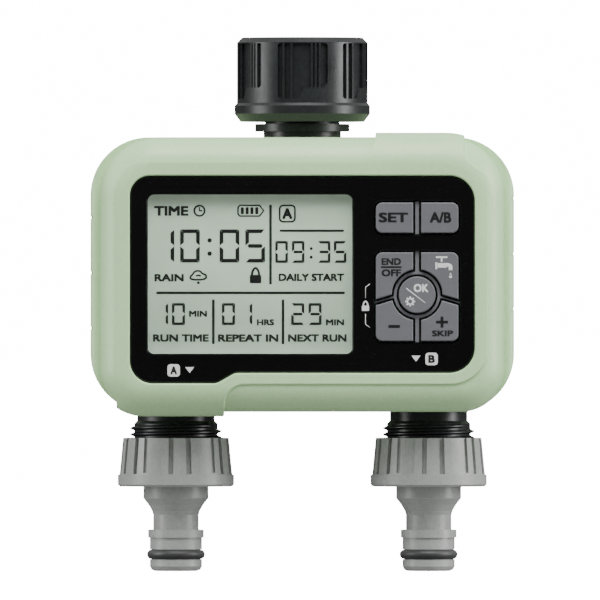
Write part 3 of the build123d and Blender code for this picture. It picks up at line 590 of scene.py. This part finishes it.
    def piece(
        self, name: str, face_y: float, surface: Surface, body: str, slot: str, proud: float = 0.012
    ) -> None:
        """Presses the sheet onto an upright face that looks to the front.

        Args:
            name: The piece's name.
            face_y: The face's place along Y.
            surface: Its finish.
            body: The body that it rides on.
            slot: Not used.
            proud: How far it stands out of the face.
        """
        bmesh.ops.triangulate(self.flat, faces=self.flat.faces)
        bmesh.ops.recalc_face_normals(self.flat, faces=self.flat.faces)
        down = [f for f in self.flat.faces if f.normal.z < 0]
        bmesh.ops.reverse_faces(self.flat, faces=down)
        grown = bmesh.ops.extrude_face_region(self.flat, geom=self.flat.faces[:])
        top = [v for v in grown["geom"] if isinstance(v, bmesh.types.BMVert)]
        bmesh.ops.translate(self.flat, verts=top, vec=(0, 0, proud + self.sunk))
        bmesh.ops.translate(self.flat, verts=self.flat.verts, vec=(0, 0, -self.sunk))
        bmesh.ops.scale(self.round, verts=self.round.verts, vec=(1, 1, 2 * proud))
        merge(self.flat, self.round)
        bmesh.ops.recalc_face_normals(self.flat, faces=self.flat.faces)
        stand = Matrix.Translation((0, face_y * MM, 0)) @ Matrix.Rotation(math.pi / 2, 4, "X")
        bmesh.ops.transform(self.flat, verts=self.flat.verts, matrix=stand @ Matrix.Scale(MM, 4))
        finished(self.flat, name, surface, body)


def as_mesh(curve: bpy.types.Curve) -> bpy.types.Mesh:
    """Turns a curve or text into a mesh and removes the curve."""
    holder = bpy.data.objects.new(curve.name, curve)
    bpy.context.scene.collection.objects.link(holder)
    bpy.context.view_layer.update()
    graph = bpy.context.evaluated_depsgraph_get()
    mesh = bpy.data.meshes.new_from_object(holder.evaluated_get(graph))
    bpy.data.objects.remove(holder)
    bpy.data.curves.remove(curve)
    return mesh


def bmesh_of(mesh: bpy.types.Mesh) -> bmesh.types.BMesh:
    """Turns a mesh into a bmesh without doubles and removes the mesh."""
    made = bmesh.new()
    made.from_mesh(mesh)
    bpy.data.meshes.remove(mesh)
    bmesh.ops.remove_doubles(made, verts=made.verts, dist=1e-5)
    return made


def merge(into: bmesh.types.BMesh, other: bmesh.types.BMesh) -> None:
    """Adds another bmesh to one, and frees the other."""
    mesh = bpy.data.meshes.new("merge")
    other.to_mesh(mesh)
    other.free()
    into.from_mesh(mesh)
    bpy.data.meshes.remove(mesh)


def finished(
    made: bmesh.types.BMesh, name: str, surface: Surface, body: str
) -> bpy.types.Object:
    """Makes an object of a bmesh whose places are already right.

    Args:
        made: The shape, in metres.
        name: The piece's name.
        surface: Its finish.
        body: The body that it rides on.

    Returns:
        The object.
    """
    mesh = bpy.data.meshes.new(name)
    made.to_mesh(mesh)
    made.free()
    mesh.materials.append(surface.material)
    piece = bpy.data.objects.new(name, mesh)
    bpy.context.scene.collection.objects.link(piece)
    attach(piece, body)
    LOG.info("%s: %d faces on %s", name, len(mesh.polygons), body)
    return piece


# ---- Display -------------------------------------------------------------------------------------


@dataclass
class SevenSegment:
    """One size of display digit, drawn as seven bars with mitred ends."""

    width: float
    height: float
    line: float
    gap: float

    LIT = {"0": "abcdef", "1": "bc", "2": "abged", "3": "abgcd", "5": "afgcd", "9": "abcdfg"}

    def draw(self, ink: Ink, digit: str, left: float, low: float) -> None:
        """Draws one digit.

        Args:
            ink: The sheet.
            digit: Which one.
            left: Its left edge.
            low: Its lower edge.
        """
        half, line = self.height / 2, self.line
        across, up = self.width - 2 * self.gap, half - 1.5 * self.gap
        mid_x, right = left + self.width / 2, left + self.width
        bars = {
            "a": ((mid_x, low + self.height - line / 2), across, 180),
            "d": ((mid_x, low + line / 2), across, 0),
            "f": ((left + line / 2, low + 1.5 * half), up, 270),
            "e": ((left + line / 2, low + 0.5 * half), up, 270),
            "b": ((right - line / 2, low + 1.5 * half), up, 90),
            "c": ((right - line / 2, low + 0.5 * half), up, 90),
        }
        for name in self.LIT[digit]:
            if name == "g":
                ink.wedge((mid_x, low + half + line / 4), (across - line, line / 2), 0.86)
                ink.wedge((mid_x, low + half - line / 4), (across - line, line / 2), 0.86, 180)
            else:
                centre, length, turn = bars[name]
                ink.wedge(centre, (length, line), 1 - 1.7 * line / length, turn)

    def number(self, ink: Ink, digits: Sequence[tuple[str, float]], low: float) -> None:
        """Draws digits, each with its left edge."""
        for digit, left in digits:
            self.draw(ink, digit, left, low)


@dataclass
class Display:
    """The liquid crystal display behind its window: film, segments, words and small signs."""

    film_y: float = -27.1
    weight: float = 0.04
    lines: list[tuple[Point, Point]] = field(
        default_factory=lambda: [
            ((-14.93, -73.94), (54.36, 0.74)),
            ((-9.16, -60.04), (0.74, 22.96)),
            ((-25.64, -82.28), (0.74, 12.87)),
            ((-5.56, -82.28), (0.74, 12.87)),
            ((2.73, -56.03), (18.53, 0.64)),
        ]
    )
    words: list[tuple[str, Point, Point]] = field(
        default_factory=lambda: [
            ("TIME", (-42.73, -51.7), (-32.84, -48.92)),
            ("RAIN", (-42.62, -70.65), (-34.18, -68.49)),
            ("DAILY START", (-6.8, -70.55), (12.05, -68.38)),
            ("MIN", (-32.64, -80.84), (-27.49, -79.09)),
            ("HRS", (-13.08, -83.31), (-8.13, -81.56)),
            ("MIN", (6.8, -83.31), (12.05, -81.56)),
            ("RUN TIME", (-43.04, -88.05), (-26.97, -85.89)),
            ("REPEAT IN", (-24.3, -88.05), (-6.9, -85.89)),
            ("NEXT RUN", (-4.12, -88.05), (12.77, -85.89)),
        ]
    )

    def build(self) -> None:
        """Makes the segments, lines, words and signs, all in the display's plane."""
        ink = Ink()
        for centre, size in self.lines:
            ink.bar(centre, size, 0.2)
        for text, low, high in self.words:
            ink.words(text, low, high, self.weight)
        self.numbers(ink)
        self.clock(ink, (-29.65, -50.26))
        self.battery(ink, (-18.53, -51.81))
        self.lettered_box(ink, (-4.32, -51.09))
        self.rain(ink, (-29.96, -69.21))
        padlock(ink, (-13.49, -69.31), 3.3)
        ink.piece("display_segments", self.film_y, Surface.SEGMENT, "case", "lcd", 0.04)

    def numbers(self, ink: Ink) -> None:
        """The clock time, the start time and the three settings."""
        large, medium = SevenSegment(5.65, 9.55, 1.06, 0.15), SevenSegment(3.6, 6.3, 0.72, 0.1)
        small = SevenSegment(3.75, 6.3, 0.74, 0.1)
        large.number(ink, [("1", -42.57), ("0", -35.21), ("0", -23.83), ("5", -16.42)], -65.19)
        medium.number(ink, [("0", -7.77), ("9", -2.99), ("3", 4.48), ("5", 9.11)], -65.29)
        settings = [("1", -42.42), ("0", -37.58), ("0", -23.16), ("1", -18.17), ("2", -3.19), ("9", 1.8)]
        small.number(ink, settings, -83.21)
        for x, high, low, radius in ((-26.72, -58.81, -62.62, 0.64), (2.57, -61.18, -63.65, 0.42)):
            ink.disc((x, high), radius).disc((x, low), radius)

    def clock(self, ink: Ink, centre: Point) -> None:
        """A clock face with two hands."""
        x, z = centre
        ink.disc(centre, 1.75, 0.52)
        ink.stroke([(x, z + 1.0), (x, z), (x + 0.8, z)], 0.5)

    def battery(self, ink: Ink, corner: Point) -> None:
        """A battery with four full bars and a pointed end."""
        x, z = corner
        outline = [(0.5, 0), (6.2, 0), (7.4, 1.55), (6.2, 3.1), (0.5, 3.1), (0, 2.5), (0, 0.6)]
        ink.stroke([(x + u, z + w) for u, w in outline], 0.5, closed=True)
        for step in range(4):
            ink.bar((x + 1.25 + 1.38 * step, z + 1.55), (0.86, 2.0), 0.25)

    def lettered_box(self, ink: Ink, centre: Point) -> None:
        """A rounded box that names the outlet."""
        x, z = centre
        ink.frame(centre, (4.9, 5.2), 1.25, 0.5)
        ink.words("A", (x - 1.45, z - 1.55), (x + 1.45, z + 1.55), 0.045)

    def rain(self, ink: Ink, centre: Point) -> None:
        """A cloud with a drop below it."""
        x, z = centre
        outline = [
            (-1.9, -1.0),
            (-2.5, -0.2),
            (-1.7, 0.5),
            (-1.1, 1.5),
            (0.4, 1.7),
            (1.2, 0.7),
            (2.3, 0.5),
            (2.2, -0.9),
        ]
        ink.stroke([(x + u, z + w) for u, w in outline], 0.55, closed=True, smooth=True)
        ink.stroke([(x - 0.7, z + 0.1), (x, z + 0.5), (x + 0.7, z + 0.1)], 0.5, smooth=True)
        ink.disc((x, z - 1.8), 0.42)


def padlock(ink: Ink, centre: Point, width: float) -> None:
    """Draws a closed padlock.

    Args:
        ink: The sheet.
        centre: The middle of its body.
        width: The width of its body.
    """
    x, z = centre
    body = width * 0.72
    ink.bar((x, z - body * 0.28), (width, body), width * 0.1)
    top, reach = z + body * 0.2, width * 0.31
    left = [(x - reach, top - 0.1), (x - reach, top + reach)]
    right = [(x + reach, top + reach), (x + reach, top - 0.1)]
    ink.stroke([*left, (x, top + 2.3 * reach), *right], width * 0.2, smooth=True)


# ---- Panel marks and key legends -----------------------------------------------------------------


@dataclass
class PanelMarks:
    """Light marks printed on the panel: outlet letters, arrows and the lock's bracket."""

    face_y: float = -30.7
    badge: Point = (3.6, 3.6)
    badge_corner: float = 0.9
    half_letter: Point = (0.95, 1.15)
    letter_weight: float = 0.045
    letter_proud: float = 0.03
    arrow: Point = (2.6, 1.7)
    bracket_line: float = 0.22

    def build(self) -> None:
        """Makes the marks and the two letters on them."""
        ink, letters = Ink(), Ink()
        wide, high = self.half_letter
        for letter, x, z, aside in (("A", -37.06, -96.28, 4.6), ("B", 37.27, -92.99, -4.5)):
            ink.bar((x, z), self.badge, self.badge_corner)
            letters.words(letter, (x - wide, z - high), (x + wide, z + high), self.letter_weight)
            ink.wedge((x + aside, z + 0.1), self.arrow, 0.0, 180)
        ink.stroke([(19.46, -71.37), (18.22, -72.3), (18.22, -75.49)], self.bracket_line)
        ink.stroke([(18.22, -80.02), (18.22, -83.0), (19.46, -83.93)], self.bracket_line)
        padlock(ink, (18.22, -77.96), 2.1)
        ink.piece("panel_marks", self.face_y, Surface.LIGHT_INK, "case", "gloss_black")
        dark = Surface.DARK_INK
        letters.piece("panel_letters", self.face_y, dark, "case", "gloss_black", self.letter_proud)


@dataclass
class KeyLegends:
    """What is printed on the keys, each legend on its own key."""

    face_y: float = -31.3
    weight: float = 0.035

    def build(self) -> None:
        """Makes one legend for each key."""
        dark, light = Surface.DARK_INK, Surface.LIGHT_INK
        self.press(self.word("SET", (22.03, -53.66), (30.47, -50.78)), "key_zone_a", dark)
        self.press(self.word("A/B", (36.75, -53.76), (42.93, -50.67)), "key_zone_b", dark)
        back = self.word("END", (22.86, -65.91), (28.42, -63.96)).bar((25.64, -66.53), (5.9, 0.5))
        self.press(back.words("OFF", (22.86, -69.21), (28.42, -67.15), self.weight), "key_off", dark)
        self.press(self.tap(), "key_manual_water", light)
        ok = self.word("OK", (32.12, -73.74), (36.34, -71.37))
        ok.stroke([(29.96, -72.6), (35.42, -76.83)], 0.26)
        self.press(self.gear(ok, (31.09, -76.41), 1.05), "key_ok", light)
        self.press(Ink().bar((26.46, -83.62), (3.3, 0.85)), "key_minus", dark)
        plus = Ink().bar((40.26, -82.38), (3.4, 0.8))
        plus.bar((40.26, -81.38), (0.8, 1.2)).bar((40.26, -83.38), (0.8, 1.2))
        self.press(plus.words("SKIP", (37.37, -86.5), (43.45, -84.75), self.weight), "key_plus", dark)

    def word(self, text: str, low: Point, high: Point) -> Ink:
        """A new sheet with one word on it, between two corners."""
        return Ink().words(text, low, high, self.weight)

    def press(self, ink: Ink, key: str, surface: Surface) -> None:
        """Prints a sheet on a key."""
        ink.piece(key + "_legend", self.face_y, surface, key + "_press", "key_grey")

    def tap(self) -> Ink:
        """A garden tap with a drop."""
        ink = Ink()
        ink.bar((40.15, -63.65), (3.3, 0.5), 0.1).bar((40.15, -64.47), (0.5, 1.1))
        ink.bar((38.61, -66.12), (0.55, 2.0), 0.1)
        ink.bar((40.26, -66.02), (2.6, 1.3), 0.15)
        ink.stroke([(41.49, -65.91), (42.42, -65.96), (42.73, -66.53), (42.73, -67.46)], 1.1, smooth=True)
        ink.wedge((42.73, -68.59), (0.9, 0.9), 0.05)
        return ink.disc((42.73, -69.21), 0.46)

    def gear(self, ink: Ink, centre: Point, radius: float) -> Ink:
        """Adds a cog wheel with eight teeth."""
        x, z = centre
        ink.disc(centre, radius, 0.45)
        reach = radius + 0.16
        for turn in range(0, 360, 45):
            angle = math.radians(turn)
            spot = (x + reach * math.cos(angle), z + reach * math.sin(angle))
            ink.bar(spot, (0.42, 0.5), 0.0, turn)
        return ink


# ---- Dressing of the modelled parts --------------------------------------------------------------


@dataclass
class Dressing:
    """Which finish each modelled part gets."""

    nodes: Mapping[str, bpy.types.Object]

    PLAIN = {
        Surface.SAGE_ABS: ("front_cover", "rear_shell", "battery_door"),
        Surface.BLACK_ABS: ("inner_cover", "lcd_frame"),
        Surface.BLACK_PP: ("valve_manifold", "inlet_nut"),
        Surface.PANEL: ("display_panel",),
        Surface.LENS: ("lcd_window",),
        Surface.CELL: ("lcd_glass",),
        Surface.WEB_SILICONE: ("keypad_web", "lcd_contact_strips"),
        Surface.BOARD: ("circuit_board",),
        Surface.EPOXY: ("board_components",),
        Surface.SLEEVE: ("battery_cells",),
        Surface.PVC: ("battery_leads",),
        Surface.TINNED: ("coil_leads",),
        Surface.ZINC: (
            "case_screws",
            "board_screws",
            "manifold_screws",
            "bonnet_screws",
            "battery_contacts",
            "battery_springs",
            "door_screw",
            "retaining_ring",
        ),
        Surface.ACETAL: ("inlet_filter",),
        Surface.NITRILE: ("case_seal", "neck_seals", "inlet_washer", "door_seal"),
    }
    PAIRED = {
        Surface.GREY_ABS: ("outlet_adaptor",),
        Surface.ACETAL: ("valve_bonnet", "valve_disc"),
        Surface.NITRILE: ("adaptor_washer", "nipple_ring", "diaphragm"),
        Surface.COIL: ("solenoid_coil",),
        Surface.ZINC: ("solenoid_yoke", "valve_spring"),
        Surface.STAINLESS: ("plunger",),
    }

    def build(self) -> None:
        """Gives every part its finish and says which have none."""
        left = set(self.nodes)
        for surface, names in self.PLAIN.items():
            left -= self.paint(names, surface)
        for surface, names in self.PAIRED.items():
            left -= self.paint([f"{name}_{side}" for name in names for side in "ab"], surface)
        left -= self.paint([name for name in self.nodes if name.startswith("key_")], Surface.KEY_SILICONE)
        if left:
            LOG.warning("no finish for %s", ", ".join(sorted(left)))

    def paint(self, names: Sequence[str], surface: Surface) -> set[str]:
        """Puts a finish on parts and returns their names."""
        for name in names:
            for slot in self.nodes[name].material_slots:
                slot.material = surface.material
            LOG.info("%s: %s", name, surface.value.name)
        return set(names)


# ---- Studio --------------------------------------------------------------------------------------


@dataclass(frozen=True)
class Softbox:
    """A rectangular soft lamp: its name, place, width, height and power in watts."""

    name: str
    place: tuple[float, float, float]
    width: float
    height: float
    power: float

    def build(self, aim_z: float) -> None:
        """Hangs the lamp and turns it to a height on the timer's axis."""
        data = bpy.data.lights.new(self.name, "AREA")
        data.shape, data.energy = "RECTANGLE", self.power
        data.size, data.size_y = self.width * MM, self.height * MM
        lamp = bpy.data.objects.new(self.name, data)
        lamp.location = Vector(self.place) * MM
        aim = Vector((0, 0, aim_z * MM)) - lamp.location
        lamp.rotation_euler = aim.to_track_quat("-Z", "Y").to_euler()
        bpy.context.scene.collection.objects.link(lamp)


@dataclass
class Studio:
    """A floor and a background that look white to the lens, soft lamps and a very long lens.

    Only the lens sees the white of floor and background, so it doesn't light the timer.
    """

    lamps: tuple[Softbox, ...] = (
        Softbox("softbox_above", (80, -450, 640), 700, 500, 9.6),
        Softbox("softbox_right", (850, -200, 100), 300, 700, 8.0),
        Softbox("softbox_left", (-850, -200, 60), 300, 700, 5.6),
    )
    centre: Point = (-0.66, -76.0)
    distance: float = 6000.0
    view_width: float = 173.8
    floor_z: float = -155.2
    floor_radius: float = 20000.0
    floor_colour: str = "#8E8E8E"
    glow: float = 16.0
    horizon: float = 0.08
    overhead: float = 0.8
    overhead_from: float = 0.7

    def build(self) -> None:
        """Makes the floor, the surround, the lamps and the camera."""
        self.floor()
        self.surround()
        for lamp in self.lamps:
            lamp.build(self.centre[1])
        self.camera()

    def floor(self) -> None:
        """A plain wide sheet just below the timer, which glossy faces don't mirror."""
        made = bmesh.new()
        place, radius = Matrix.Translation((0, 0, self.floor_z * MM)), self.floor_radius * MM
        bmesh.ops.create_circle(made, cap_ends=True, segments=96, radius=radius, matrix=place)
        mesh = bpy.data.meshes.new("floor")
        made.to_mesh(mesh)
        made.free()
        paper = LitPaper("lit_paper", self.floor_colour, 0.9, glow=self.glow)
        mesh.materials.append(paper.material())
        sheet = bpy.data.objects.new("floor", mesh)
        sheet.visible_glossy = False
        bpy.context.scene.collection.objects.link(sheet)

    def surround(self) -> None:
        """Soft light from overhead, little from the horizon and below, and white for the lens."""
        world = bpy.data.worlds.new("surround")
        world.use_nodes = True
        tree = world.node_tree
        way = add_node(tree, "TexCoord").outputs["Generated"]
        height = add_node(tree, "SeparateXYZ", {"Vector": way}).outputs["Z"]
        fall = {"Value": height, "From Min": 0.0, "From Max": self.overhead_from}
        ends = {"To Min": self.horizon, "To Max": self.overhead}
        level = add_node(tree, "MapRange", {**fall, **ends}).outputs["Result"]
        seen = add_node(tree, "LightPath").outputs["Is Camera Ray"]
        behind = add_node(tree, "Mix", {0: seen, 2: level, 3: self.glow}).outputs[0]
        tree.links.new(behind, tree.nodes["Background"].inputs["Strength"])
        tree.nodes["Background"].inputs["Color"].default_value = linear("#FFFFFF")
        bpy.context.scene.world = world

    def camera(self) -> None:
        """A very long lens, level with the display."""
        data = bpy.data.cameras.new("camera")
        data.sensor_width = 36.0
        data.lens = data.sensor_width * self.distance / self.view_width
        camera = bpy.data.objects.new("camera", data)
        camera.location = Vector((self.centre[0], -self.distance, self.centre[1])) * MM
        camera.rotation_euler = (math.pi / 2, 0, 0)
        bpy.context.scene.collection.objects.link(camera)
        bpy.context.scene.camera = camera


def main() -> None:
    """Builds the pieces, dresses the parts and sets up the studio."""
    logging.basicConfig(level=logging.INFO, format="%(name)s %(message)s")
    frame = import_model()
    Dressing(frame["nodes"]).build()
    for part in (Display(), PanelMarks(), KeyLegends(), Studio()):
        part.build()


if __name__ == "__main__":
    main()
